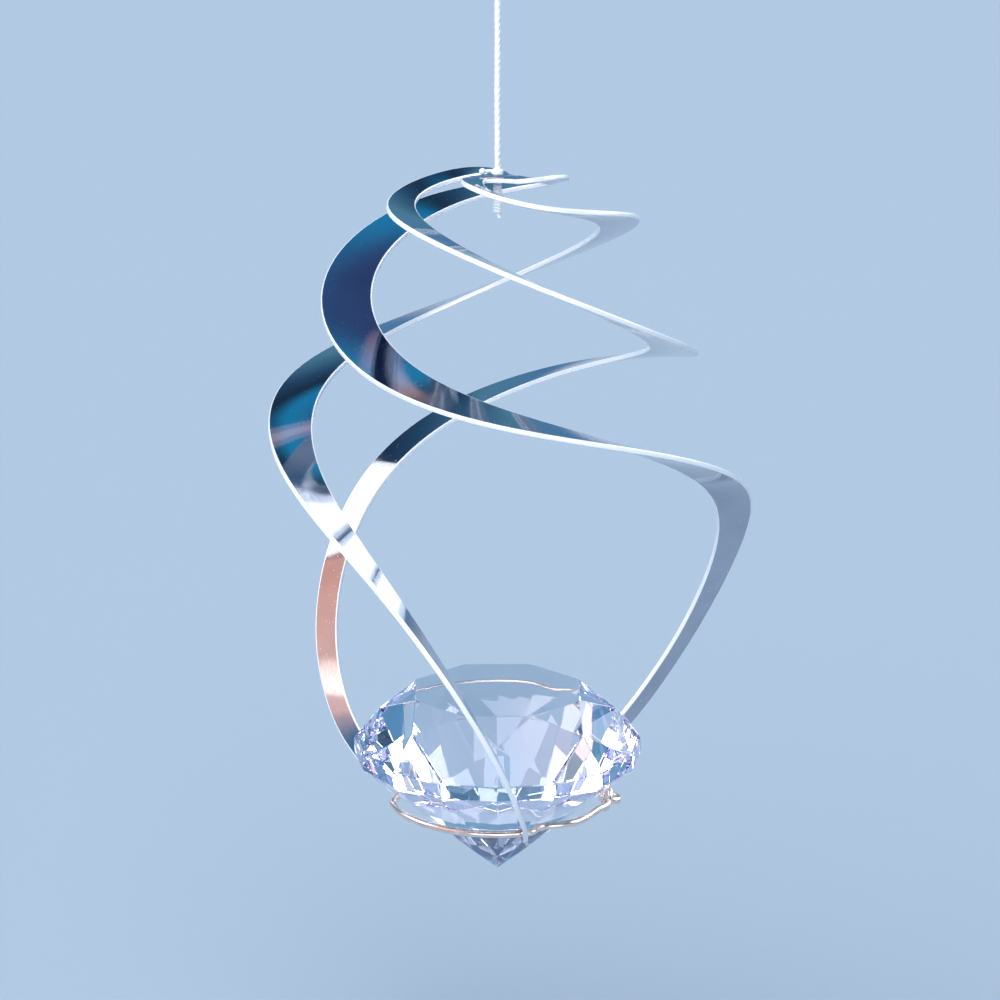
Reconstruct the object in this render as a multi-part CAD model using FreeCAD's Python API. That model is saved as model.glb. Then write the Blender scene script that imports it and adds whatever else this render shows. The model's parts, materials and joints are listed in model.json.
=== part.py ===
import FreeCAD, Part

import math
import os

from FreeCAD import Vector as V

# Hanging spiral light catcher: three steel strips, cut from one sheet, wind down from a small hub
# to a round wire cradle, which carries a brilliant-cut glass crystal. Millimetres, +Z up, and the
# origin is at the top inside of the cord's hanging loop.

# ---- driving dimensions ----
CRYSTAL_DIAMETER = 60.0
CRYSTAL_CROWN = 10.6          # girdle top up to the table
CRYSTAL_GIRDLE = 3.0
CRYSTAL_PAVILION = 26.1       # girdle bottom down to the culet
TABLE_RADIUS = 18.4           # to the corners of the octagonal table
STAR_RADIUS = 24.6            # to the tips of the star facets
LOWER_HALF_REACH = 0.78       # share of the pavilion that the lower girdle facets cover
FOLD = 8                      # main facets round the crystal; the girdle has twice as many corners

SHEET = 1.0                   # steel sheet
ARM_COUNT = 3
HUB_HOLE_RADIUS = 0.70
HUB_SEAM = 0.03               # the plate stops this short of each strip
HUB_SHOULDER = 3.3            # radius of its rounded edge half way from strip to strip
WIRE_RADIUS = 0.75
CRADLE_RADIUS = 22.5          # wire centre line
CRADLE_DROP = 131.0           # hub top face down to the cradle's plane
CULET_BELOW_CRADLE = 16.4

KINK_FROM_EYE = 3.5           # degrees from each arm's eye to the start of the wire's dip
KINK = [(0, 0), (4.5, 1.0), (9, 2.0), (19, 1.2), (31, 0)]      # the dip: degrees on, and depth
HOOK_TURN = 6.0               # where the ring ends and the clasp's hook starts
HOOK_LEAD = 0.4
HOOK_BEND = 0.9
HOOK_ARCH = 1.85
HOOK_TAIL = 1.6
CLASP_LEAN = 105.0            # degrees that the hook's arch leans out from upright
CLASP_RUN_IN = 30.0           # degrees of the ring that curve out to meet the eye
CLASP_EYE_RADIUS = 1.85       # centre line of the clasp's eye
CLASP_EYE_WIRE = 0.80

CORD_RADIUS = 0.62
HANG_LOOP_HEIGHT = 15.0       # loop's inside top down to the knot's centre
HANG_LOOP_RADIUS = 4.2        # centre line of the loop's round top
TOP_KNOT_RADIUS = 1.75
KNOT_GAP = 0.3                # between the knot, the loop and the cord, which all turn about the knot
LOOP_FOOT_GAP = 0.08          # each foot of the loop from the axis
CORD_LENGTH = 42.0            # top knot's centre down to the hub

HUB_GAP = 0.15                # hub to the knots above and below it
UPPER_KNOT_RADIUS = 1.35
UPPER_KNOT_END_RADIUS = 1.05
UPPER_KNOT_HEIGHT = 1.3
LOWER_KNOT_RADIUS = 0.98
LOWER_KNOT_WAIST = 0.7        # radius where the upper lobe starts and ends
LOWER_LOBE_HEIGHT = 3.4
SECOND_LOBE_RADIUS = 0.9
SECOND_LOBE_END_RADIUS = 0.5
SECOND_LOBE_HEIGHT = 3.06
LOBE_OVERLAP = 0.2
CUT_END = 0.8                 # length of cord that shows below the lower knot
TAIL_RADIUS = 0.35
TAIL_REACH = 3.0
TAIL_BLOB_RADIUS = 0.7

HUB_Z = -HANG_LOOP_HEIGHT - CORD_LENGTH      # top face of the hub
LOWER_KNOT_TOP = HUB_Z - SHEET - HUB_GAP
CRADLE_Z = HUB_Z - CRADLE_DROP
CULET_Z = CRADLE_Z - CULET_BELOW_CRADLE
KNOT_Z = -HANG_LOOP_HEIGHT
AXIS = V(0, 0, 1)

# An arm's path, unrolled: turn about the axis in degrees, radius of its middle, drop below the
# hub's top face, width, and lean (degrees that its outer edge is raised out of square).
FIRST_ARM_TURN = -150.0
ARM_STATIONS = [
    (0, 4.5, 0.5, 4.5, 0),
    (40, 11.0, 1.0, 4.5, 8),
    (90, 18.0, 4.0, 5.0, 6),
    (150, 24.0, 9.0, 8.0, 10),
    (210, 29.5, 20.5, 10.0, -2),
    (270, 35.5, 35.0, 10.0, -12),
    (330, 41.0, 46.0, 9.0, 0),
    (375, 47.0, 60.5, 8.0, 9),
    (400, 48.5, 79.5, 6.0, 10),
    (416, 44.5, 102.0, 5.0, 9),
    (426, 35.5, 120.0, 4.5, 0),
    (431.5, 25.5, 129.0, 4.0, 0),
]
ARM_END = len(ARM_STATIONS) - 1
SECTIONS_PER_STATION = 3
EYE_RADIUS = WIRE_RADIUS + 0.36
TANGENT_STEP = 0.01           # share of a station's spacing, to find the arm's direction


def polar(radius, degrees, z=0.0):
    a = math.radians(degrees)
    return V(radius * math.cos(a), radius * math.sin(a), z)


def turned(shape, degrees):
    copy = shape.copy()
    copy.rotate(V(0, 0, 0), AXIS, degrees)
    return copy


def ball(radius, centre):
    return Part.makeSphere(radius, centre)


def rod(radius, start, end):
    along = end - start
    return Part.makeCylinder(radius, along.Length, start, along)


# ---- steel spiral ----
def spline_slopes(values):
    """Slopes at each value that make a natural cubic spline through evenly spaced values."""
    n = len(values)
    above, right = [0.5], [1.5 * (values[1] - values[0])]
    for i in range(1, n):
        last = i == n - 1
        step = 3 * (values[i] - values[i - 1]) if last else 3 * (values[i + 1] - values[i - 1])
        centre = 2.0 if last else 4.0
        scale = centre - above[-1]
        above.append(1.0 / scale)
        right.append((step - right[-1]) / scale)
    slopes = [0.0] * n
    slopes[-1] = right[-1]
    for i in range(n - 2, -1, -1):
        slopes[i] = right[i] - above[i] * slopes[i + 1]
    return slopes


def spline_value(values, slopes, at):
    i = min(int(at), len(values) - 2)
    t = at - i
    rise = values[i + 1] - values[i]
    c = 3 * rise - 2 * slopes[i] - slopes[i + 1]
    d = slopes[i] + slopes[i + 1] - 2 * rise
    return values[i] + t * (slopes[i] + t * (c + t * d))


COLUMNS = [[float(v) for v in column] for column in zip(*ARM_STATIONS)]
SLOPES = [spline_slopes(column) for column in COLUMNS]


def station(at):
    """Turn, radius, drop, width and lean at a place along the arm; whole numbers are stations."""
    return [spline_value(c, s, at) for c, s in zip(COLUMNS, SLOPES)]


def arm_middle(at):
    turn, radius, drop = station(at)[:3]
    return polar(radius, FIRST_ARM_TURN + turn, HUB_Z - drop)


def arm_frame(at):
    """The arm's middle there, with its directions along, across (outwards) and through."""
    middle = arm_middle(at)
    along = (arm_middle(at + TANGENT_STEP) - arm_middle(at - TANGENT_STEP)).normalize()
    outwards = V(middle.x, middle.y, 0).normalize()
    across = (outwards - along * along.dot(outwards)).normalize()
    lean = math.radians(station(at)[4])
    through = across.cross(along)
    across = across * math.cos(lean) + through * math.sin(lean)
    return middle, along, across, across.cross(along)


def arm_section(at):
    middle, _, across, through = arm_frame(at)
    half_width = across * (station(at)[3] / 2)
    half_sheet = through * (SHEET / 2)
    corners = [middle + half_width + half_sheet, middle - half_width + half_sheet,
               middle - half_width - half_sheet, middle + half_width - half_sheet]
    return Part.makePolygon(corners + corners[:1])


def eye_place():
    """Where the cradle's wire passes through the first arm's eye, and how far past its last station."""
    middle, along, _, _ = arm_frame(ARM_END)
    reach = (CRADLE_Z - middle.z) / along.z
    return middle + along * reach, reach


def arm():
    steps = ARM_END * SECTIONS_PER_STATION
    sections = [arm_section(i / SECTIONS_PER_STATION) for i in range(steps + 1)]
    strip = Part.makeLoft(sections, True, False)
    middle, along, across, through = arm_frame(ARM_END)
    eye, reach = eye_place()
    half = station(ARM_END)[3] / 2
    low = through * (-SHEET / 2)
    sides = [middle + across * half + low, middle - across * half + low,
             eye - across * half + low, eye + across * half + low]
    outline = Part.Wire([
        Part.LineSegment(sides[0], sides[1]).toShape(),
        Part.LineSegment(sides[1], sides[2]).toShape(),
        Part.Arc(sides[2], eye + along * half + low, sides[3]).toShape(),
        Part.LineSegment(sides[3], sides[0]).toShape(),
    ])
    tip = Part.Face(outline).extrude(through * SHEET)
    hole = Part.makeCylinder(EYE_RADIUS, 4 * SHEET, eye - through * (2 * SHEET), through)
    return strip.fuse(tip).cut(hole)


def hub():
    """A small pinwheel plate: each arm leaves one of its three flats, and the cord goes through it."""
    middle, along, across, _ = arm_frame(0)
    half = station(0)[3] / 2
    low = AXIS * (HUB_Z - SHEET)
    edges = []
    for k in range(ARM_COUNT):
        here = FreeCAD.Rotation(AXIS, 360 / ARM_COUNT * k)
        after = FreeCAD.Rotation(AXIS, 360 / ARM_COUNT * (k + 1))
        outer, inner = [middle + across * side - along * HUB_SEAM for side in (half, -half)]
        flat_outer, flat_inner = [here.multVec(V(p.x, p.y, 0)) + low for p in (outer, inner)]
        next_outer = after.multVec(V(outer.x, outer.y, 0)) + low
        shoulder = here.multVec(polar(HUB_SHOULDER, FIRST_ARM_TURN + 180 / ARM_COUNT)) + low
        edges += [Part.LineSegment(flat_outer, flat_inner).toShape(),
                  Part.Arc(flat_inner, shoulder, next_outer).toShape()]
    plate = Part.Face(Part.Wire(edges)).extrude(AXIS * SHEET)
    return plate.cut(Part.makeCylinder(HUB_HOLE_RADIUS, 3 * SHEET, V(0, 0, HUB_Z - 2 * SHEET)))


# ---- wire cradle ----
def first_eye_turn():
    eye, _ = eye_place()
    return math.degrees(math.atan2(eye.y, eye.x))


def ring_arc(start, end):
    places = [polar(CRADLE_RADIUS, turn, CRADLE_Z) for turn in (start, (start + end) / 2, end)]
    return Part.Arc(*places).toShape()


def kink(start):
    """The wire dips in beside an arm's eye, to touch the crystal and keep the arm in its place."""
    points = [polar(CRADLE_RADIUS - dip, start + turn, CRADLE_Z) for turn, dip in KINK]
    curve = Part.BSplineCurve()
    curve.interpolate(Points=points, InitialTangent=polar(1, start + 90),
                      FinalTangent=polar(1, start + KINK[-1][0] + 90))
    return curve.toShape()


def hook_frame():
    """Where the hook end leaves the ring, the direction it goes on in, and the one it arches in."""
    lean = math.radians(CLASP_LEAN)
    arch = AXIS * math.cos(lean) + polar(1, HOOK_TURN) * math.sin(lean)
    return polar(CRADLE_RADIUS, HOOK_TURN, CRADLE_Z), polar(1, HOOK_TURN - 90), arch


def clasp_centre():
    start, along, _ = hook_frame()
    return start + along * (HOOK_LEAD + HOOK_BEND + 2 * HOOK_ARCH)


def clasp_eye():
    return Part.makeTorus(CLASP_EYE_RADIUS, CLASP_EYE_WIRE, clasp_centre(), hook_frame()[2])


def clasp_run_in(start_turn):
    """The ring's other end curves out to the middle of the clasp eye's wire."""
    along = hook_frame()[1]
    points = [polar(CRADLE_RADIUS, start_turn, CRADLE_Z), clasp_centre() + along * CLASP_EYE_RADIUS]
    curve = Part.BSplineCurve()
    curve.interpolate(Points=points, InitialTangent=polar(1, start_turn + 90), FinalTangent=-along)
    return curve.toShape()


def pipe(path, start, direction, radius):
    profile = Part.Wire(Part.makeCircle(radius, start, direction))
    return Part.Wire(path).makePipeShell([profile], True, False)


def cradle_wire():
    path, reached = [], HOOK_TURN
    for k in range(1, ARM_COUNT + 1):
        bend = first_eye_turn() + 360 / ARM_COUNT * k + KINK_FROM_EYE
        path += [ring_arc(reached, bend), kink(bend)]
        reached = bend + KINK[-1][0]
    last = 360 + HOOK_TURN - CLASP_RUN_IN
    path += [ring_arc(reached, last), clasp_run_in(last)]
    ring = pipe(path, polar(CRADLE_RADIUS, HOOK_TURN, CRADLE_Z), polar(1, HOOK_TURN + 90), WIRE_RADIUS)
    return ring.cut(clasp_eye())


def clasp_hook():
    """The wire rises beside the eye, arches over its rim and goes down through it."""
    start, along, arch = hook_frame()

    def at(reach, rise):
        return start + along * reach + arch * rise

    corner = HOOK_BEND * (1 - math.sqrt(0.5))
    up, down = HOOK_LEAD + HOOK_BEND, HOOK_LEAD + HOOK_BEND + 2 * HOOK_ARCH
    path = [
        Part.LineSegment(start, at(HOOK_LEAD, 0)).toShape(),
        Part.Arc(at(HOOK_LEAD, 0), at(up - corner, corner), at(up, HOOK_BEND)).toShape(),
        Part.Arc(at(up, HOOK_BEND), at(up + HOOK_ARCH, HOOK_BEND + HOOK_ARCH),
                 at(down, HOOK_BEND)).toShape(),
        Part.LineSegment(at(down, HOOK_BEND), at(down, -HOOK_TAIL)).toShape(),
    ]
    return pipe(path, start, along, WIRE_RADIUS)


# ---- crystal ----
def facet_cut(shape, azimuth, tilt, distance, z, upward):
    """Cuts off what lies outside a plane: it leans tilt degrees from level, distance from the axis at z."""
    size = 4 * CRYSTAL_DIAMETER
    block = Part.makeBox(size, size, size, V(-size / 2, -size / 2, 0))
    block.rotate(V(0, 0, 0), V(0, 1, 0), tilt if upward else 180 - tilt)
    block.rotate(V(0, 0, 0), AXIS, azimuth)
    block.translate(polar(distance, azimuth, z))
    return shape.cut(block)


def crystal():
    radius = CRYSTAL_DIAMETER / 2
    girdle_low = CULET_Z + CRYSTAL_PAVILION
    girdle_high = girdle_low + CRYSTAL_GIRDLE
    table_z = girdle_high + CRYSTAL_CROWN
    corner_turn, main_turn = 180 / FOLD, 360 / FOLD
    corners = [polar(radius, corner_turn * k, CULET_Z) for k in range(2 * FOLD + 1)]
    height = table_z - CULET_Z
    stone = Part.Face(Part.makePolygon(corners)).extrude(V(0, 0, height))
    cos_16, cos_8 = math.cos(math.radians(corner_turn / 2)), math.cos(math.radians(corner_turn))
    kite = math.atan(CRYSTAL_CROWN / (radius - TABLE_RADIUS))
    star_drop = math.tan(kite) * (STAR_RADIUS * cos_8 - TABLE_RADIUS)
    star = math.atan(star_drop / (STAR_RADIUS - TABLE_RADIUS * cos_8))
    upper = math.atan((CRYSTAL_CROWN - star_drop) / ((radius - STAR_RADIUS) * cos_16))
    main = math.atan(CRYSTAL_PAVILION / radius)
    tip = radius * (1 - LOWER_HALF_REACH)
    tip_depth = CRYSTAL_PAVILION - math.tan(main) * tip * cos_8
    lower = math.atan(tip_depth / ((radius - tip) * cos_16))
    for k in range(FOLD):
        turn = main_turn * k
        stone = facet_cut(stone, turn + corner_turn, math.degrees(kite), radius, girdle_high, True)
        stone = facet_cut(stone, turn, math.degrees(star), TABLE_RADIUS * cos_8, table_z, True)
        stone = facet_cut(stone, turn + corner_turn, math.degrees(main), radius, girdle_low, False)
    for k in range(2 * FOLD):
        turn = corner_turn * (k + 0.5)
        stone = facet_cut(stone, turn, math.degrees(upper), radius * cos_16, girdle_high, True)
        stone = facet_cut(stone, turn, math.degrees(lower), radius * cos_16, girdle_low, False)
    return stone


# ---- cord ----
def barrel(radius, end_radius, low, high):
    """A knot's lobe: round, widest half way up."""
    middle = (low + high) / 2
    side = Part.Arc(V(end_radius, 0, low), V(radius, 0, middle), V(end_radius, 0, high)).toShape()
    top = Part.LineSegment(V(end_radius, 0, high), V(0, 0, high)).toShape()
    core = Part.LineSegment(V(0, 0, high), V(0, 0, low)).toShape()
    base = Part.LineSegment(V(0, 0, low), V(end_radius, 0, low)).toShape()
    return Part.Face(Part.Wire([side, top, core, base])).revolve(V(0, 0, 0), AXIS, 360)


def cord():
    """The taut line, and its length."""
    top = KNOT_Z - TOP_KNOT_RADIUS - KNOT_GAP
    return rod(CORD_RADIUS, V(0, 0, top), V(0, 0, LOWER_KNOT_TOP)), top - LOWER_KNOT_TOP


def hub_knot_upper():
    low = HUB_Z + HUB_GAP
    knot = barrel(UPPER_KNOT_RADIUS, UPPER_KNOT_END_RADIUS, low, low + UPPER_KNOT_HEIGHT)
    end = V(-TAIL_REACH, 0, low + TAIL_BLOB_RADIUS)
    tail = rod(TAIL_RADIUS, V(0, 0, low + TAIL_BLOB_RADIUS), end)
    bore = Part.makeCylinder(CORD_RADIUS, 3 * UPPER_KNOT_HEIGHT, V(0, 0, low - UPPER_KNOT_HEIGHT))
    return knot.fuse(tail).fuse(ball(TAIL_BLOB_RADIUS, end)).cut(bore)


def hub_knot_lower():
    """Two lobes of wound cord under the hub, with the cut end below them."""
    waist = LOWER_KNOT_TOP - LOWER_LOBE_HEIGHT
    low = waist - SECOND_LOBE_HEIGHT
    upper_lobe = barrel(LOWER_KNOT_RADIUS, LOWER_KNOT_WAIST, waist, LOWER_KNOT_TOP)
    lower_lobe = barrel(SECOND_LOBE_RADIUS, SECOND_LOBE_END_RADIUS, low, waist + LOBE_OVERLAP)
    end = rod(TAIL_RADIUS, V(0, 0, low + CUT_END), V(0, 0, low - CUT_END))
    return upper_lobe.fuse(lower_lobe).fuse(end)


def cord_loop():
    """From the top knot up one side, round the hook's place and down the other side; and its length."""
    foot_z = KNOT_Z + TOP_KNOT_RADIUS + KNOT_GAP
    centre_z = CORD_RADIUS - HANG_LOOP_RADIUS
    foot = V(CORD_RADIUS + LOOP_FOOT_GAP, 0, foot_z)
    reach = math.hypot(foot.x, centre_z - foot_z)
    turn = math.asin(HANG_LOOP_RADIUS / reach) - math.atan2(foot.x, centre_z - foot_z)
    touch = V(HANG_LOOP_RADIUS * math.cos(turn), 0, centre_z - HANG_LOOP_RADIUS * math.sin(turn))
    left_foot, left_touch = V(-foot.x, 0, foot.z), V(-touch.x, 0, touch.z)
    path = [
        Part.LineSegment(foot, touch).toShape(),
        Part.Arc(touch, V(0, 0, CORD_RADIUS), left_touch).toShape(),
        Part.LineSegment(left_touch, left_foot).toShape(),
    ]
    length = sum(edge.Length for edge in path)
    return pipe(path, foot, (touch - foot).normalize(), CORD_RADIUS), length


def check_cord(name, tube, length):
    """Says how near the tube's volume is to its section times its length."""
    swept = math.pi * CORD_RADIUS ** 2 * length
    print(f"{name}: radius {CORD_RADIUS}, length {length:.1f}, volume {tube.Volume:.2f} of {swept:.2f}")


def main():
    os.makedirs("parts", exist_ok=True)
    strip = arm()
    line, line_length = cord()
    loop, loop_length = cord_loop()
    check_cord("cord", line, line_length)
    check_cord("cord_loop", loop, loop_length)
    print(f"cord_loop: radius of its bend {HANG_LOOP_RADIUS}")
    nodes = {f"spiral_arm_{k + 1}": turned(strip, 360 / ARM_COUNT * k) for k in range(ARM_COUNT)}
    nodes.update({
        "hub_plate": hub(),
        "cradle_wire": cradle_wire(),
        "clasp_eye": clasp_eye(),
        "clasp_hook": clasp_hook(),
        "crystal": crystal(),
        "cord": line,
        "cord_loop": loop,
        "top_knot": ball(TOP_KNOT_RADIUS, V(0, 0, KNOT_Z)),
        "hub_knot_upper": hub_knot_upper(),
        "hub_knot_lower": hub_knot_lower(),
    })
    for name, shape in nodes.items():
        shape.exportStep(f"parts/{name}.step")
        print(f"{name}: {len(shape.Solids)} solid, valid {shape.isValid()}, {shape.Volume:.1f} mm3")
    return nodes


main()
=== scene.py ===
import json
import math

import bmesh
import bpy
import numpy as np
from mathutils import Matrix, Vector


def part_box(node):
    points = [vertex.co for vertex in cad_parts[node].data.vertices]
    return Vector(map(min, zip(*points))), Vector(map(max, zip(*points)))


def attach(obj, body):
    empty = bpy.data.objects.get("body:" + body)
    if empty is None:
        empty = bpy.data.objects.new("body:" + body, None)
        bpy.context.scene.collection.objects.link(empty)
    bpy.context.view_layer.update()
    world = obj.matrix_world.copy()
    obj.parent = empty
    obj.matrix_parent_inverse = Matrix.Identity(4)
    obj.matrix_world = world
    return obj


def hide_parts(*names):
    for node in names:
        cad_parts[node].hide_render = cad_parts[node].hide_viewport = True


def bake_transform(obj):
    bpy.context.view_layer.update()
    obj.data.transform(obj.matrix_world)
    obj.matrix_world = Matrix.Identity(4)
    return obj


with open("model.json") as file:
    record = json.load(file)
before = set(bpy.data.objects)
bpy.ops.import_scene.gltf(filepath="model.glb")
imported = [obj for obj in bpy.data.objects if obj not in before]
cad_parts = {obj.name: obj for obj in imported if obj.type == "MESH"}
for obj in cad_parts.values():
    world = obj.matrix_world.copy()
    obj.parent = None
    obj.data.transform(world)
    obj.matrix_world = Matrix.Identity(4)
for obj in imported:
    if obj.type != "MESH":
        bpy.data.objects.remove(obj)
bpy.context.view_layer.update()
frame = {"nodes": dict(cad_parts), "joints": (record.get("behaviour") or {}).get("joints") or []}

MM = 0.001
joints = {j["name"]: j for j in frame["joints"]}

# ---- places, from the frame ----
KNOT_Z = joints["swing_side"]["pos_m"][2]
HUB_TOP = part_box("hub_plate")[1].z
HUB_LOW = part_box("hub_plate")[0].z
SHEET = HUB_TOP - HUB_LOW
CRADLE_Z = (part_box("cradle_wire")[0].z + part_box("cradle_wire")[1].z) / 2
CULET_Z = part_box("crystal")[0].z
TABLE_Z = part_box("crystal")[1].z
CRYSTAL_RADIUS = (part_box("crystal")[1].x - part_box("crystal")[0].x) / 2
CORD_RADIUS = (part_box("cord")[1].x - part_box("cord")[0].x) / 2
FLOOR_Z = CULET_Z - 75 * MM

# The strip's stations: turn, radius and drop of its middle, width, lean. Millimetres and degrees.
FIRST_ARM_TURN = -150.0
ARM_COUNT = 3
ARM_STATIONS = [
    (0, 4.5, 0.5, 4.5, 0),
    (40, 11.0, 1.0, 4.5, 8),
    (90, 18.0, 4.0, 5.0, 6),
    (150, 24.0, 9.0, 8.0, 10),
    (210, 29.5, 20.5, 10.0, -2),
    (270, 35.5, 35.0, 10.0, -12),
    (330, 41.0, 46.0, 9.0, 0),
    (375, 47.0, 60.5, 8.0, 9),
    (400, 48.5, 79.5, 6.0, 10),
    (416, 44.5, 102.0, 5.0, 9),
    (426, 35.5, 120.0, 4.5, 0),
    (431.5, 25.5, 129.0, 4.0, 0),
]
ARM_TURN = 360 / ARM_COUNT
EYE_RADIUS = 1.11 * MM
EDGE_ROUND = 0.2 * MM
FACE_MARGIN = 0.12 * MM              # of each face, beside its edges
HUB_SHOULDER, HUB_HOLE = 3.3 * MM, 0.7 * MM


def polar(radius, degrees, z=0.0):
    a = math.radians(degrees)
    return Vector((radius * math.cos(a), radius * math.sin(a), z))


def new_object(name, data):
    thing = bpy.data.objects.new(name, data)
    bpy.context.scene.collection.objects.link(thing)
    return thing


def new_mesh(name, verts, faces):
    mesh = bpy.data.meshes.new(name)
    mesh.from_pydata([tuple(v) for v in verts], [], faces)
    mesh.validate()
    return new_object(name, mesh)


def from_bmesh(name, mesh):
    """An object with the bmesh's shape; the bmesh itself is freed."""
    data = bpy.data.meshes.new(name)
    mesh.to_mesh(data)
    mesh.free()
    return new_object(name, data)


def apply_modifiers(piece):
    depsgraph = bpy.context.evaluated_depsgraph_get()
    mesh = bpy.data.meshes.new_from_object(piece.evaluated_get(depsgraph))
    piece.modifiers.clear()
    piece.data = mesh


def shade(piece, angle=35):
    """Smooth faces, with edges sharper than the angle kept crisp."""
    mesh = piece.data
    mesh.shade_smooth()
    mesh.set_sharp_from_angle(angle=math.radians(angle))


def bevelled(piece, width, segments, sharper_than):
    """Rounds the edges whose faces meet at more than an angle, in degrees."""
    bevel = piece.modifiers.new("edges", "BEVEL")
    bevel.width = width
    bevel.segments = segments
    bevel.limit_method = "ANGLE"
    bevel.angle_limit = math.radians(sharper_than)
    apply_modifiers(piece)


def finish_piece(piece, material, body, replaces):
    """Gives a piece its material, and its body unless it is blended, and hides the CAD nodes it stands for.
    """
    piece.data.materials.clear()
    piece.data.materials.append(material)
    if body:
        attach(piece, body)
    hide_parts(*replaces)
    return piece


# ---- camera, light and floor ----
CAMERA_LENS, CAMERA_SENSOR = 107.5, 36                  # millimetres
CAMERA_PITCH = 15.14                                    # degrees below level
CAMERA_RIGHT, CAMERA_BACK, CAMERA_ABOVE_CRADLE = 0.0005, 0.5899, 0.2238
LIGHT_BOUNCES = 24                                      # fewer turn glass facets black
FLOOR_RADIUS = 60.0

# What the strips mirror above them: height, as the sine of the elevation, and colour.
SKY_STOPS = [
    (0.0, (0.40, 0.50, 0.64)),
    (0.12, (0.10, 0.26, 0.48)),
    (0.40, (0.12, 0.32, 0.46)),
    (0.60, (0.03, 0.10, 0.20)),
    (0.70, (0.02, 0.04, 0.08)),
    (0.76, (0.02, 0.36, 0.66)),
    (0.81, (0.03, 0.30, 0.58)),
    (0.86, (0.05, 0.10, 0.26)),
    (1.0, (0.03, 0.06, 0.16)),
]


def look_at(thing, target):
    thing.rotation_euler = (Vector(target) - thing.location).to_track_quat("-Z", "Y").to_euler()


def camera():
    data = bpy.data.cameras.new("camera")
    data.sensor_width = CAMERA_SENSOR
    data.lens = CAMERA_LENS
    eye = new_object("camera", data)
    eye.location = (CAMERA_RIGHT, -CAMERA_BACK, CRADLE_Z + CAMERA_ABOVE_CRADLE)
    eye.rotation_euler = (math.radians(90 - CAMERA_PITCH), 0, 0)
    bpy.context.scene.camera = eye
    bpy.context.scene.view_settings.view_transform = "Standard"
    paths = bpy.context.scene.cycles
    paths.max_bounces = paths.glossy_bounces = paths.transmission_bounces = LIGHT_BOUNCES


def card(name, azimuth, elevation, distance, size, radiance, colour=(1.0, 1.0, 1.0)):
    """A light card that only reflections and glass show, facing the object's middle.

    Azimuth is clockwise from straight behind the object, in degrees; lengths are in metres.
    """
    middle = Vector((0, 0, (HUB_TOP + CRADLE_Z) / 2))
    a, e = math.radians(azimuth), math.radians(elevation)
    outwards = Vector((math.sin(a) * math.cos(e), math.cos(a) * math.cos(e), math.sin(e)))
    data = bpy.data.lights.new(name, "AREA")
    data.shape = "RECTANGLE"
    data.size, data.size_y = size
    data.energy = radiance * math.pi * size[0] * size[1]
    data.color = colour
    lamp = new_object(name, data)
    lamp.location = middle + distance * outwards
    look_at(lamp, middle)
    lamp.visible_camera = False
    lamp.visible_diffuse = False


def cards():
    """What the polished strips and the crystal mirror, round the object."""
    card("right_softbox", 88, 30, 0.85, (0.62, 0.56), 4.2)
    card("left_softbox", -82, 32, 0.85, (0.48, 0.52), 3.8, (0.97, 0.98, 1.0))
    card("front_softbox", 178, -1, 0.95, (0.95, 0.26), 4.0, (1.0, 0.94, 0.92))
    card("back_right_card", 43, 25, 0.85, (0.54, 0.56), 2.2, (0.92, 0.93, 1.0))
    card("copper_card", -126, 25, 0.95, (0.66, 0.46), 1.20, (1.0, 0.43, 0.23))
    card("cream_card", -129, 20, 0.75, (0.08, 0.10), 2.6, (1.0, 0.92, 0.80))
    card("brown_strip", 6.5, 54, 0.95, (0.06, 0.30), 0.50, (1.0, 0.50, 0.40))


def overhead_sun():
    """One broad, soft light that the floor and the cord are lit by, with no glint in the steel."""
    data = bpy.data.lights.new("soft_overhead", "SUN")
    data.energy = 4.3
    data.angle = math.radians(70)
    data.color = (0.98, 0.99, 1.0)
    sun = new_object("soft_overhead", data)
    sun.location = (-0.35, -0.75, 0.85)
    look_at(sun, (0, 0, 0))
    sun.visible_glossy = False


def sky():
    """A dark steel-blue surround with brighter bands, by height."""
    world = bpy.data.worlds.new("studio")
    bpy.context.scene.world = world
    world.use_nodes = True
    tree = world.node_tree
    background = tree.nodes["Background"]
    ramp = tree.nodes.new("ShaderNodeValToRGB")
    place = tree.nodes.new("ShaderNodeTexCoord")
    split = tree.nodes.new("ShaderNodeSeparateXYZ")
    tree.links.new(place.outputs["Generated"], split.inputs[0])
    tree.links.new(split.outputs["Z"], ramp.inputs[0])
    tree.links.new(ramp.outputs[0], background.inputs["Color"])
    stops = ramp.color_ramp.elements
    for stop, (height, colour) in zip(stops, (SKY_STOPS[0], SKY_STOPS[-1])):
        stop.position = height
        stop.color = (*colour, 1)
    for height, colour in SKY_STOPS[1:-1]:
        stops.new(height).color = (*colour, 1)
    background.inputs["Strength"].default_value = 1.0


def floor():
    bpy.ops.mesh.primitive_circle_add(vertices=96, radius=FLOOR_RADIUS, fill_type="NGON",
                                      location=(0, 0, FLOOR_Z))
    ground = bpy.context.object
    ground.name = "floor"
    material, shader, tree = new_material("floor_paint")
    noise = add(tree, "ShaderNodeTexNoise", Scale=3.0, Detail=2.0)
    tint = ramp_between(tree, noise.outputs["Fac"], (0.43, 0.50, 0.58), (0.46, 0.53, 0.61))
    tree.links.new(tint, shader.inputs["Base Color"])
    shader.inputs["Roughness"].default_value = 0.9
    shader.inputs["Specular IOR Level"].default_value = 0.0
    ground.data.materials.append(material)


# ---- materials ----
COLOUR_A, COLOUR_B, COLOUR_OUT = 6, 7, 2   # a Mix node's colour sockets, which share their names with others


def new_material(name):
    material = bpy.data.materials.new(name)
    material.use_nodes = True
    tree = material.node_tree
    return material, tree.nodes["Principled BSDF"], tree


def add(tree, kind, **values):
    node = tree.nodes.new(kind)
    for name, value in values.items():
        node.inputs[name.replace("_", " ")].default_value = value
    return node


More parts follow.
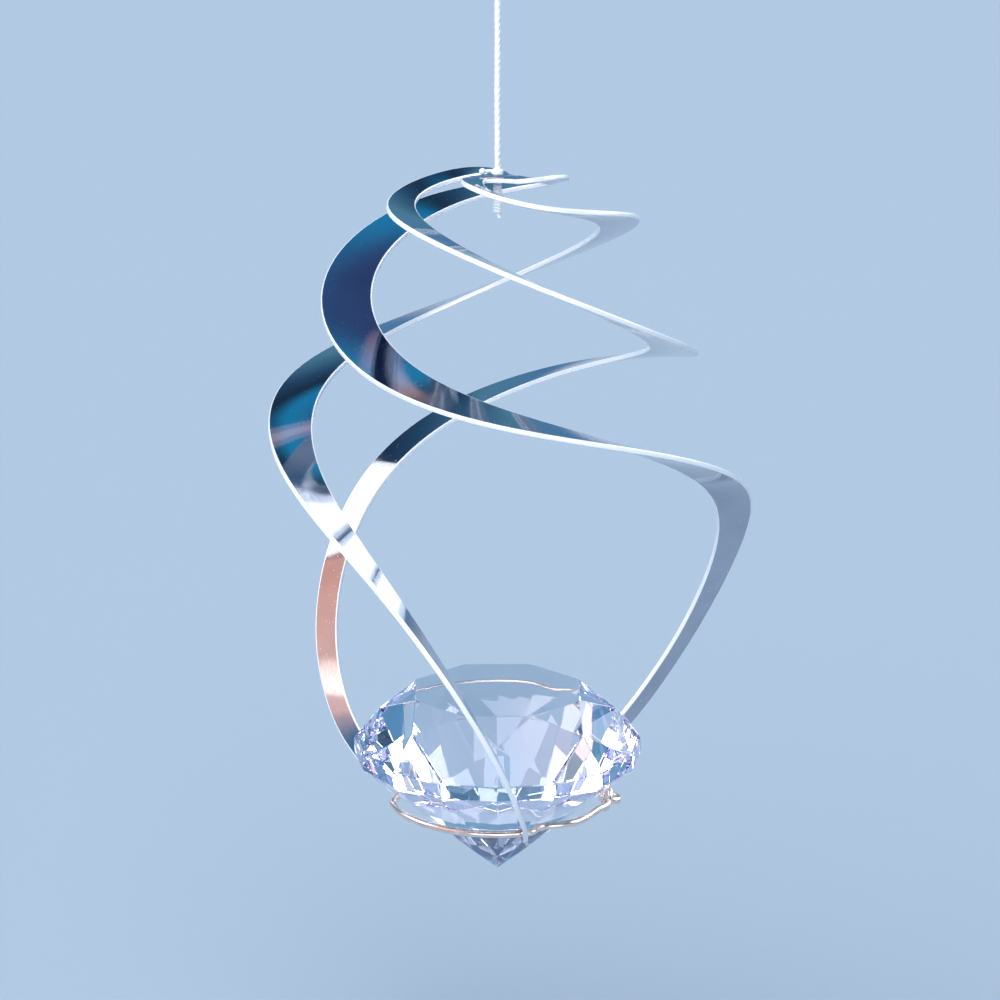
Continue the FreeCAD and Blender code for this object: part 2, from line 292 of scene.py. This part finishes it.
def laid_over(tree, where, kind, **values):
    """A texture node that is laid over the given coordinates."""
    node = add(tree, kind, **values)
    tree.links.new(where, node.inputs["Vector"])
    return node


def ramp_between(tree, factor, low, high, start=0.0, end=1.0):
    """A colour between two, as the factor goes from start to end."""
    ramp = tree.nodes.new("ShaderNodeValToRGB")
    ramp.color_ramp.elements[0].position = start
    ramp.color_ramp.elements[1].position = end
    ramp.color_ramp.elements[0].color = (*low, 1)
    ramp.color_ramp.elements[1].color = (*high, 1)
    tree.links.new(factor, ramp.inputs[0])
    return ramp.outputs[0]


def spread_between(tree, factor, start, end, low, high):
    """A number from low to high, as the factor goes from start to end."""
    node = tree.nodes.new("ShaderNodeMapRange")
    for name, value in (("From Min", start), ("From Max", end), ("To Min", low), ("To Max", high)):
        node.inputs[name].default_value = value
    tree.links.new(factor, node.inputs["Value"])
    return node.outputs[0]


def scaled(tree, source, scale):
    mapping = tree.nodes.new("ShaderNodeMapping")
    mapping.inputs["Scale"].default_value = scale
    tree.links.new(source, mapping.inputs["Vector"])
    return mapping.outputs[0]


def combined(tree, operation, first, second):
    """One number made of two; the second may be a plain number."""
    node = tree.nodes.new("ShaderNodeMath")
    node.operation = operation
    tree.links.new(first, node.inputs[0])
    if isinstance(second, float):
        node.inputs[1].default_value = second
    else:
        tree.links.new(second, node.inputs[1])
    return node.outputs[0]


def mixed(tree, factor, source, colour):
    """The source's colour, going over to another colour where the factor is 1."""
    node = tree.nodes.new("ShaderNodeMix")
    node.data_type = "RGBA"
    tree.links.new(factor, node.inputs["Factor"])
    tree.links.new(source, node.inputs[COLOUR_A])
    node.inputs[COLOUR_B].default_value = (*colour, 1)
    return node.outputs[COLOUR_OUT]


def bump(tree, shader, heights, distance):
    """Adds bumps, one on another, for each height and strength."""
    normal = None
    for height, strength in heights:
        node = add(tree, "ShaderNodeBump", Strength=strength, Distance=distance)
        tree.links.new(height, node.inputs["Height"])
        if normal:
            tree.links.new(normal, node.inputs["Normal"])
        normal = node.outputs[0]
    tree.links.new(normal, shader.inputs["Normal"])


def polished_sheet():
    """Mirror-polished steel: faint rolling ripple, hairlines along the strip, dust, and paler edges, painted
    near-white and faintly pink as a painted highlight.
    """
    material, shader, tree = new_material("polished_steel_sheet")
    place = add(tree, "ShaderNodeTexCoord")
    along = scaled(tree, place.outputs["UV"], (60, 9000, 1))
    hairs = laid_over(tree, along, "ShaderNodeTexNoise", Scale=1.0, Detail=3.0, Roughness=0.6)
    cloud = laid_over(tree, place.outputs["Object"], "ShaderNodeTexNoise", Scale=90.0, Detail=4.0)
    dust = laid_over(tree, place.outputs["Object"], "ShaderNodeTexVoronoi", Scale=900.0)
    ripple = laid_over(tree, place.outputs["Object"], "ShaderNodeTexNoise", Scale=28.0, Detail=1.0)
    specks = spread_between(tree, dust.outputs["Distance"], 0.06, 0.11, 1.0, 0.0)
    edge = tree.nodes.new("ShaderNodeAttribute")
    edge.attribute_name = "edge"
    on_edge = edge.outputs["Fac"]
    tint = ramp_between(tree, cloud.outputs["Fac"], (0.44, 0.47, 0.54), (0.53, 0.56, 0.63), 0.3, 0.7)
    # Edges go near-white and faintly pink here: a painted highlight, not a ground finish.
    ground = mixed(tree, on_edge, tint, (0.98, 0.95, 0.95))
    dusty = mixed(tree, specks, ground, (0.86, 0.87, 0.88))
    smooth = spread_between(tree, cloud.outputs["Fac"], 0.3, 0.75, 0.035, 0.10)
    dull = combined(tree, "MULTIPLY", combined(tree, "MAXIMUM", on_edge, specks), 0.28)
    tree.links.new(dusty, shader.inputs["Base Color"])
    tree.links.new(spread_between(tree, on_edge, 0.0, 1.0, 1.0, 0.2), shader.inputs["Metallic"])
    tree.links.new(combined(tree, "MAXIMUM", smooth, dull), shader.inputs["Roughness"])
    bump(tree, shader, [(ripple.outputs["Fac"], 0.10), (hairs.outputs["Fac"], 0.015)], 0.002)
    return material


def drawn_wire():
    """Bright drawn wire, tinted warm cream to copper as a painted reflection of warm surroundings, with
    faint die lines and handling marks.
    """
    material, shader, tree = new_material("drawn_steel_wire")
    shader.inputs["Metallic"].default_value = 1.0
    place = add(tree, "ShaderNodeTexCoord")
    marks = laid_over(tree, place.outputs["Object"], "ShaderNodeTexNoise", Scale=420.0, Detail=4.0)
    stretched = scaled(tree, place.outputs["Object"], (300, 300, 6000))
    lines = laid_over(tree, stretched, "ShaderNodeTexNoise", Scale=1.0, Detail=2.0)
    # The warm cream-to-copper tint is a painted reflection of warm surroundings; the marks noise varies it.
    tint = ramp_between(tree, marks.outputs["Fac"], (0.90, 0.68, 0.57), (1.0, 0.84, 0.74), 0.3, 0.7)
    tree.links.new(tint, shader.inputs["Base Color"])
    tree.links.new(spread_between(tree, marks.outputs["Fac"], 0.35, 0.75, 0.16, 0.34),
                   shader.inputs["Roughness"])
    bump(tree, shader, [(lines.outputs["Fac"], 0.05)], 0.0005)
    return material


def crystal_glass():
    """Clear lead crystal, with a few finger smears that dull its polish a little."""
    material, shader, tree = new_material("clear_crystal")
    shader.inputs["Base Color"].default_value = (0.985, 0.992, 1.0, 1)
    shader.inputs["Transmission Weight"].default_value = 1.0
    shader.inputs["IOR"].default_value = 1.62
    place = add(tree, "ShaderNodeTexCoord")
    smear = laid_over(tree, place.outputs["Object"], "ShaderNodeTexNoise", Scale=55.0, Detail=5.0,
                      Distortion=0.6)
    tree.links.new(spread_between(tree, smear.outputs["Fac"], 0.55, 0.8, 0.0, 0.06),
                   shader.inputs["Roughness"])
    body = add(tree, "ShaderNodeVolumeAbsorption", Color=(0.80, 0.77, 1.0, 1), Density=6.5)
    tree.links.new(body.outputs[0], tree.nodes["Material Output"].inputs["Volume"])
    return material


def cord_fibre():
    """White twisted yarn with fine fibres and a little grime in the lay."""
    material, shader, tree = new_material("white_cord")
    place = add(tree, "ShaderNodeTexCoord")
    fine = scaled(tree, place.outputs["Object"], (5000, 5000, 1400))
    fibre = laid_over(tree, fine, "ShaderNodeTexNoise", Scale=1.0, Detail=4.0, Roughness=0.7)
    grime = laid_over(tree, place.outputs["Object"], "ShaderNodeTexNoise", Scale=220.0, Detail=3.0)
    tint = ramp_between(tree, grime.outputs["Fac"], (0.88, 0.88, 0.87), (0.97, 0.97, 0.96), 0.3, 0.62)
    tree.links.new(tint, shader.inputs["Base Color"])
    tree.links.new(spread_between(tree, fibre.outputs["Fac"], 0.3, 0.7, 0.55, 0.8),
                   shader.inputs["Roughness"])
    shader.inputs["Sheen Weight"].default_value = 0.35
    bump(tree, shader, [(fibre.outputs["Fac"], 0.35)], 0.0002)
    return material


# ---- cord ----
CORD_STEP, KNOT_STEP, LOBE_STEP = 0.00022, 0.0002, 0.00016   # between points along a strand
TURN_STEPS = 14                                              # points in one turn of a winding
GROOVE = 0.20                                                # depth between strands, of the radius
KNOT_GAP = 0.15 * MM                                         # between a knot and the hub


def nurbs_points(points, name):
    """Points along the smooth line that the route's points control."""
    data = bpy.data.curves.new(name, "CURVE")
    data.dimensions = "3D"
    data.resolution_u = 24
    spline = data.splines.new("NURBS")
    spline.points.add(len(points) - 1)
    for point, place in zip(spline.points, points):
        point.co = (*place, 1)
    spline.order_u = 3
    spline.use_endpoint_u = True
    route = bpy.data.objects.new(name, data)
    mesh = bpy.data.meshes.new_from_object(route)
    line = [v.co.copy() for v in mesh.vertices]
    bpy.data.objects.remove(route)
    bpy.data.meshes.remove(mesh)
    return line


def spaced(line, step):
    """The line again, with points evenly spaced about a step apart."""
    places = np.array([tuple(p) for p in line])
    along = np.concatenate([[0], np.cumsum(np.linalg.norm(np.diff(places, axis=0), axis=1))])
    at = np.linspace(0, along[-1], max(2, int(round(along[-1] / step)) + 1))
    return [Vector([np.interp(a, along, places[:, k]) for k in range(3)]) for a in at]


def frames_along(line):
    """For each point, two directions square to the line that don't spin round it."""
    tangents = []
    for i in range(len(line)):
        tangents.append((line[min(i + 1, len(line) - 1)] - line[max(i - 1, 0)]).normalized())
    side = tangents[0].orthogonal().normalized()
    frames = []
    for tangent in tangents:
        side = (side - tangent * side.dot(tangent)).normalized()
        frames.append((side.copy(), tangent.cross(side)))
    return frames


def twisted_cord(name, line, radius, lay=0.0042, strands=3, around=30, phase=0.0):
    """A laid cord: strands wound round each other, as one closed surface that follows the line."""
    verts, faces, travelled = [], [], 0.0
    frames = frames_along(line)
    for i, (place, (side, up)) in enumerate(zip(line, frames)):
        if i:
            travelled += (place - line[i - 1]).length
        spin = phase + math.tau * travelled / lay
        for k in range(around):
            angle = math.tau * k / around
            lobe = abs(math.cos((angle - spin) * strands / 2))
            reach = radius * (1 - GROOVE + GROOVE * lobe ** 0.7)
            verts.append(place + (side * math.cos(angle) + up * math.sin(angle)) * reach)
    for i in range(len(line) - 1):
        for k in range(around):
            a, b = i * around + k, i * around + (k + 1) % around
            faces.append((a, b, b + around, a + around))
    faces.append(tuple(range(around))[::-1])
    faces.append(tuple(range((len(line) - 1) * around, len(line) * around)))
    piece = new_mesh(name, verts, faces)
    shade(piece, 60)
    return piece


def strand(name, points, step, radius, **look):
    """A twisted cord along the smooth line that the points control."""
    return twisted_cord(name, spaced(nurbs_points(points, name + "_route"), step), radius, **look)


def winding(centre_z, height, radius, turns, start=0.0, sag=0.0, bulge=0.0):
    """Points of a cord wound round the axis, from the top down; bulge widens its middle."""
    steps = int(turns * TURN_STEPS)
    points = []
    for i in range(steps + 1):
        t = i / steps
        angle = start + 360 * turns * t
        swell = radius + bulge * math.sin(math.pi * t)
        z = centre_z + height / 2 - height * t + sag * math.cos(math.radians(angle))
        points.append(polar(swell, angle, z))
    return points


def joined(name, pieces):
    """One object made of several pieces' meshes."""
    mesh = bmesh.new()
    for piece in pieces:
        mesh.from_mesh(piece.data)
        bpy.data.objects.remove(piece)
    whole = from_bmesh(name, mesh)
    shade(whole, 60)
    return whole


def ball(name, radius, z, xy=(0, 0), stretch=1.0):
    mesh = bmesh.new()
    bmesh.ops.create_icosphere(mesh, subdivisions=3, radius=radius)
    bmesh.ops.scale(mesh, vec=(1, 1, stretch), verts=mesh.verts)
    bmesh.ops.translate(mesh, vec=(*xy, z), verts=mesh.verts)
    return from_bmesh(name, mesh)


def main_cord(material):
    """The taut line from inside the top knot, through the hub, into the knot under it."""
    route = [(0, 0, HUB_LOW - 0.6 * MM), (0.00006, 0, -0.0500), (-0.00005, 0.00003, -0.0420),
             (0.00004, -0.00003, -0.0330), (0, 0, -0.0245), (0, 0, KNOT_Z - 0.0005)]
    line = spaced(nurbs_points(route, "cord_route"), CORD_STEP)
    piece = finish_piece(twisted_cord("main_cord", line, CORD_RADIUS), material, "line", ["cord"])
    return piece, line


def top_knot(material):
    """Turns of cord round a heart, with one strap down over them."""
    wraps = winding(KNOT_Z, height=2.3 * MM, radius=0.95 * MM, turns=3.2, start=20, sag=0.1 * MM)
    core = strand("knot_core", wraps, CORD_STEP, radius=0.62 * MM, phase=1)
    strap = [polar(1.25 * MM, turn, KNOT_Z + 1.45 * MM * math.cos(math.radians(tilt)))
             for turn, tilt in ((70, 20), (70, 60), (75, 100), (75, 150))]
    over = strand("knot_over", strap, CORD_STEP, radius=0.5 * MM)
    heart = ball("knot_heart", 1.05 * MM, KNOT_Z)
    whole = joined("top_knot_wraps", [core, over, heart])
    return finish_piece(whole, material, "knot", ["top_knot"])


def hanging_loop(material):
    """The loop at the top, a mirror image of its own right side; its feet end inside the top knot."""
    side = [(0.0003, 0, KNOT_Z + 0.0008), (0.0009, 0, KNOT_Z + 0.0028), (0.0028, 0, KNOT_Z + 0.0066),
            (0.0050, 0, -0.0040), (0.0047, 0, 0.00066)]
    route = side + [(0, 0, 0.00062)] + [(-x, y, z) for x, y, z in side[::-1]]
    loop = strand("hanging_loop", route, CORD_STEP, radius=CORD_RADIUS)
    return finish_piece(loop, material, "hanger", ["cord_loop"])


def knot_on_hub(material):
    """A flat turn of cord on the hub, and its tail with a small knob at the end."""
    low = HUB_TOP + KNOT_GAP
    flat_turn = winding(low + 0.62 * MM, height=0.5 * MM, radius=0.78 * MM, turns=1.4, start=200)
    turn = strand("turn", flat_turn, KNOT_STEP, radius=0.5 * MM)
    tail_route = [(-0.0006, 0.0004, low + 0.0006), (-0.0016, 0.0002, low + 0.0009),
                  (-0.0029, 0, low + 0.0006)]
    tail = strand("tail", tail_route, KNOT_STEP, radius=0.36 * MM)
    knob = ball("knob", 0.66 * MM, low + 0.7 * MM, xy=(-3.0 * MM, 0))
    whole = joined("knot_on_hub", [turn, tail, knob])
    return finish_piece(whole, material, "line", ["hub_knot_upper"])


def knot_under_hub(material):
    """Two wound lobes, one under the other, and the cord's cut end."""
    start = HUB_LOW - KNOT_GAP
    lobes = []
    for k, (height, turns) in enumerate(((3.3 * MM, 4.3), (3.1 * MM, 4.0))):
        middle = start - 1.75 * MM - k * 3.3 * MM
        coil = winding(middle, height=height - 0.7 * MM, radius=0.50 * MM, turns=turns, start=90 * k,
                       bulge=0.09 * MM)
        lobes.append(strand(f"lobe_{k}", coil, LOBE_STEP, radius=0.36 * MM, lay=0.003, around=18))
        lobes.append(ball(f"lobe_core_{k}", 0.5 * MM, middle, stretch=2.6))
    end_route = [(0, 0, start - 0.0062), (0.0003, -0.0002, start - 0.0068),
                 (0.0004, -0.0003, start - 0.0073)]
    lobes.append(strand("cut_end", end_route, KNOT_STEP, radius=0.33 * MM))
    return finish_piece(joined("knot_under_hub", lobes), material, "line", ["hub_knot_lower"])


def cords(material):
    """The taut line, its knots and the hanging loop."""
    main, line = main_cord(material)
    on_cord = [make(material) for make in (top_knot, hanging_loop, knot_on_hub, knot_under_hub)]


# ---- steel spiral ----
STEPS_PER_STATION = 14
TANGENT_STEP = 0.01                  # of the way between two stations
CORNER_STEPS, FACE_STEPS = 4, 6      # round each corner of the strip's section, and across each face
EYE_STEPS, TIP_STEPS = 8, 16         # from the last station to the eye, and round the tip
TIP_HALF_WIDTH = EDGE_ROUND * 1.6    # where the round tip ends


def spline_slopes(table):
    """Slopes at each row that make a natural cubic spline through evenly spaced rows."""
    n = len(table)
    beside = np.ones(n - 1)
    system = np.diag([2.0] + [4.0] * (n - 2) + [2.0]) + np.diag(beside, 1) + np.diag(beside, -1)
    right = np.empty_like(table)
    right[1:-1] = 3 * (table[2:] - table[:-2])
    right[0], right[-1] = 3 * (table[1] - table[0]), 3 * (table[-1] - table[-2])
    return np.linalg.solve(system, right)


STATIONS = np.array(ARM_STATIONS, float)
SLOPES = spline_slopes(STATIONS)
ARM_END = len(ARM_STATIONS) - 1


def station(at):
    """Turn, radius, drop, width and lean at a place along the strip; whole numbers are stations."""
    i = min(int(at), ARM_END - 1)
    t = at - i
    rise = STATIONS[i + 1] - STATIONS[i]
    c = 3 * rise - 2 * SLOPES[i] - SLOPES[i + 1]
    d = SLOPES[i] + SLOPES[i + 1] - 2 * rise
    return STATIONS[i] + t * (SLOPES[i] + t * (c + t * d))


def arm_middle(at):
    turn, radius, drop = station(at)[:3]
    return polar(radius * MM, FIRST_ARM_TURN + turn, HUB_TOP - drop * MM)


def arm_frame(at):
    """The strip's middle there, with its directions along, across (outwards) and through."""
    middle = arm_middle(at)
    along = (arm_middle(at + TANGENT_STEP) - arm_middle(at - TANGENT_STEP)).normalized()
    outwards = Vector((middle.x, middle.y, 0)).normalized()
    across = (outwards - along * along.dot(outwards)).normalized()
    lean = math.radians(station(at)[4])
    through = across.cross(along)
    across = across * math.cos(lean) + through * math.sin(lean)
    return middle, along, across, across.cross(along)


def strip_section(half_width):
    """Across, through and edge share of each point round a strip with rounded edges."""
    half = SHEET / 2
    corner_across, corner_through = half_width - EDGE_ROUND, half - EDGE_ROUND
    ring = []
    for across_sign, through_sign, first in ((1, 1, 0), (-1, 1, 90), (-1, -1, 180), (1, -1, 270)):
        for i in range(CORNER_STEPS + 1):
            a = math.radians(first + 90 * i / CORNER_STEPS)
            ring.append((across_sign * corner_across + EDGE_ROUND * math.cos(a),
                         through_sign * corner_through + EDGE_ROUND * math.sin(a), 1.0))
        if across_sign == through_sign:
            inner = corner_across - FACE_MARGIN
            for i in range(FACE_STEPS + 1):
                ring.append((across_sign * inner * (1 - 2 * i / FACE_STEPS), through_sign * half, 0.0))
    return ring


def arm_places():
    """Middle, across, through and half width all along the strip and round its tip, and the eye's middle."""
    places = []
    for i in range(ARM_END * STEPS_PER_STATION + 1):
        at = i / STEPS_PER_STATION
        middle, along, across, through = arm_frame(at)
        places.append((middle, across, through, station(at)[3] * MM / 2))
    half = station(ARM_END)[3] * MM / 2
    reach = (CRADLE_Z - middle.z) / along.z
    for i in range(1, EYE_STEPS + 1):
        places.append((middle + along * (reach * i / EYE_STEPS), across, through, half))
    for i in range(1, TIP_STEPS + 1):
        a = math.radians(90 * i / (TIP_STEPS + 1))
        places.append((middle + along * (reach + half * math.sin(a)), across, through,
                       max(half * math.cos(a), TIP_HALF_WIDTH)))
    return places, middle + along * reach, through


def arm_mesh(name):
    """One strip as a closed skin over its sections, with its edges marked and an eye punched in its end."""
    verts, faces, edge, uv_place = [], [], [], []
    places, eye, through_eye = arm_places()
    travelled, last = 0.0, places[0][0]
    for middle, across, through, half_width in places:
        travelled += (middle - last).length
        last = middle
        for a, t, on_edge in strip_section(half_width):
            verts.append(middle + across * a + through * t)
            edge.append(on_edge)
            uv_place.append((travelled, a + t))
    around = len(verts) // len(places)
    for i in range(len(places) - 1):
        for k in range(around):
            a, b = i * around + k, i * around + (k + 1) % around
            faces.append((a, a + around, b + around, b))
    faces.append(tuple(range(around)))
    faces.append(tuple(range((len(places) - 1) * around, len(places) * around))[::-1])
    piece = new_mesh(name, verts, faces)
    # Marks the edges, which the sheet's material paints near-white as a painted highlight.
    mark = piece.data.attributes.new("edge", "FLOAT", "POINT")
    mark.data.foreach_set("value", edge)
    uv = piece.data.uv_layers.new(name="along")
    for loop in piece.data.loops:
        uv.data[loop.index].uv = uv_place[loop.vertex_index]
    punch_hole(piece, eye, through_eye)
    return piece


def punch_hole(piece, centre, axis):
    mesh = bmesh.new()
    bmesh.ops.create_cone(mesh, segments=48, radius1=EYE_RADIUS, radius2=EYE_RADIUS, depth=6 * SHEET,
                          cap_ends=True)
    punch = from_bmesh("punch", mesh)
    punch.matrix_world = Matrix.Translation(centre) @ axis.to_track_quat("Z", "Y").to_matrix().to_4x4()
    cut = piece.modifiers.new("hole", "BOOLEAN")
    cut.operation = "DIFFERENCE"
    cut.object = punch
    cut.solver = "EXACT"
    bpy.context.view_layer.update()
    apply_modifiers(piece)
    bpy.data.objects.remove(punch)


def turned_copy(piece, name, degrees):
    copy = new_object(name, piece.data.copy())
    copy.data.transform(Matrix.Rotation(math.radians(degrees), 4, "Z"))
    return copy


def hub_outline():
    """The plate's edge: each strip's end, then a round shoulder to the next strip."""
    middle, _, across, _ = arm_frame(0)
    half = station(0)[3] * MM / 2
    outer, inner = middle + across * half, middle - across * half
    outline = []
    for k in range(ARM_COUNT):
        spin = Matrix.Rotation(math.radians(ARM_TURN * k), 3, "Z")
        after = Matrix.Rotation(math.radians(ARM_TURN * (k + 1)), 3, "Z")
        shoulder = spin @ polar(HUB_SHOULDER, FIRST_ARM_TURN + ARM_TURN / 2)
        outline.append(spin @ outer)
        outline += arc_points(spin @ inner, shoulder, after @ outer, 24)[:-1]
    return outline


def hub_mesh():
    """The plate that the three strips grow out of, with a hole for the cord."""
    hole = [polar(HUB_HOLE, 360 * k / 40) for k in range(40)]
    mesh = bmesh.new()
    rings = []
    for points in (hub_outline(), hole):
        corners = [mesh.verts.new((p.x, p.y, HUB_LOW)) for p in points]
        for corner, after in zip(corners, corners[1:] + corners[:1]):
            rings.append(mesh.edges.new((corner, after)))
    bmesh.ops.triangle_fill(mesh, use_beauty=True, edges=rings)
    bmesh.ops.recalc_face_normals(mesh, faces=mesh.faces)
    extruded = bmesh.ops.extrude_face_region(mesh, geom=mesh.faces[:])
    raised = [g for g in extruded["geom"] if isinstance(g, bmesh.types.BMVert)]
    bmesh.ops.translate(mesh, vec=(0, 0, SHEET), verts=raised)
    bmesh.ops.recalc_face_normals(mesh, faces=mesh.faces)
    piece = from_bmesh("hub", mesh)
    bevelled(piece, 0.15 * MM, segments=3, sharper_than=50)
    shade(piece)
    # Marks the side faces as edge, which the sheet's material paints near-white as a painted highlight.
    mark = piece.data.attributes.new("edge", "FLOAT", "FACE")
    for face in piece.data.polygons:
        mark.data[face.index].value = 1.0 if abs(face.normal.z) < 0.7 else 0.0
    return piece


def arc_points(start, middle, end, steps):
    """Points on the circle through three points in a level plane."""
    a, b, c = [complex(p.x, p.y) for p in (start, middle, end)]
    w = (c - a) / (b - a)
    centre = (b - a) * (w - abs(w) ** 2) / (w - w.conjugate()) + a
    first, last = a - centre, c - centre
    sweep = math.remainder(math.atan2(last.imag, last.real) - math.atan2(first.imag, first.real), math.tau)
    points = []
    for i in range(steps + 1):
        turn = sweep * i / steps
        place = centre + first * complex(math.cos(turn), math.sin(turn))
        points.append(Vector((place.real, place.imag, 0)))
    return points


def spiral(material):
    """Three strips that stretch between the hub and the cradle, and the hub plate."""
    first = arm_mesh("strip_1")
    strips = [first] + [turned_copy(first, f"strip_{k + 1}", ARM_TURN * k) for k in range(1, ARM_COUNT)]
    for k, piece in enumerate(strips):
        shade(piece, 40)
        finish_piece(piece, material, None, [f"spiral_arm_{k + 1}"])
        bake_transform(piece)
    finish_piece(hub_mesh(), material, "spiral", ["hub_plate"])


# ---- crystal ----
CROWN, GIRDLE, PAVILION = 10.6 * MM, 3.0 * MM, 26.1 * MM
TABLE_RADIUS, STAR_RADIUS = 18.4 * MM, 24.6 * MM
LOWER_HALF_REACH = 0.78              # how far down the pavilion the lower halves reach
FACET_EDGE = 0.14 * MM
SIDES = 16
SIDE_TURN = 360 / SIDES


def grind(mesh, azimuth, slope, distance, z, side):
    """Cuts one flat facet, which faces up where side is 1 and down where it is -1."""
    normal = (polar(slope, azimuth, 0) + Vector((0, 0, side))).normalized()
    cut = bmesh.ops.bisect_plane(mesh, geom=mesh.verts[:] + mesh.edges[:] + mesh.faces[:], dist=1e-7,
                                 plane_co=polar(distance, azimuth, z), plane_no=normal,
                                 clear_outer=True)
    rim = [g for g in cut["geom_cut"] if isinstance(g, bmesh.types.BMEdge)]
    bmesh.ops.edgenet_fill(mesh, edges=rim)
    bmesh.ops.remove_doubles(mesh, verts=mesh.verts, dist=2e-6)


def prism(radius, low, high):
    """An upright bar with as many sides as the girdle has."""
    mesh = bmesh.new()
    bottom = [mesh.verts.new(polar(radius, SIDE_TURN * k, low)) for k in range(SIDES)]
    top = [mesh.verts.new(polar(radius, SIDE_TURN * k, high)) for k in range(SIDES)]
    mesh.faces.new(bottom[::-1])
    mesh.faces.new(top)
    for k in range(SIDES):
        after = (k + 1) % SIDES
        mesh.faces.new((bottom[k], bottom[after], top[after], top[k]))
    return mesh


def crystal_mesh():
    """A round brilliant cut: a prism with every facet ground on as one plane."""
    radius = CRYSTAL_RADIUS
    girdle_low = CULET_Z + PAVILION
    girdle_high = girdle_low + GIRDLE
    cos_half, cos_side = math.cos(math.radians(SIDE_TURN / 2)), math.cos(math.radians(SIDE_TURN))
    kite = CROWN / (radius - TABLE_RADIUS)
    star_drop = kite * (STAR_RADIUS * cos_side - TABLE_RADIUS)
    star = star_drop / (STAR_RADIUS - TABLE_RADIUS * cos_side)
    upper = (CROWN - star_drop) / ((radius - STAR_RADIUS) * cos_half)
    main = PAVILION / radius
    tip = radius * (1 - LOWER_HALF_REACH)
    lower = (PAVILION - main * tip * cos_side) / ((radius - tip) * cos_half)
    mesh = prism(radius, CULET_Z, TABLE_Z)
    for k in range(0, SIDES, 2):
        grind(mesh, SIDE_TURN * (k + 1), kite, radius, girdle_high, 1)
        grind(mesh, SIDE_TURN * k, star, TABLE_RADIUS * cos_side, TABLE_Z, 1)
        grind(mesh, SIDE_TURN * (k + 1), main, radius, girdle_low, -1)
    for k in range(SIDES):
        grind(mesh, SIDE_TURN * (k + 0.5), upper, radius * cos_half, girdle_high, 1)
        grind(mesh, SIDE_TURN * (k + 0.5), lower, radius * cos_half, girdle_low, -1)
    bmesh.ops.recalc_face_normals(mesh, faces=mesh.faces)
    piece = from_bmesh("brilliant", mesh)
    bevelled(piece, FACET_EDGE, segments=1, sharper_than=3)
    return piece


def crystal(material):
    finish_piece(crystal_mesh(), material, "stone", ["crystal"])


# ---- cradle ----
def cradle(material):
    """The wire keeps its CAD meshes, with a better material."""
    for node in ("cradle_wire", "clasp_eye", "clasp_hook"):
        piece = frame["nodes"][node]
        piece.data.materials.clear()
        piece.data.materials.append(material)


def main():
    camera()
    cords(cord_fibre())
    spiral(polished_sheet())
    crystal(crystal_glass())
    cradle(drawn_wire())
    cards()
    overhead_sun()
    sky()
    floor()


main()
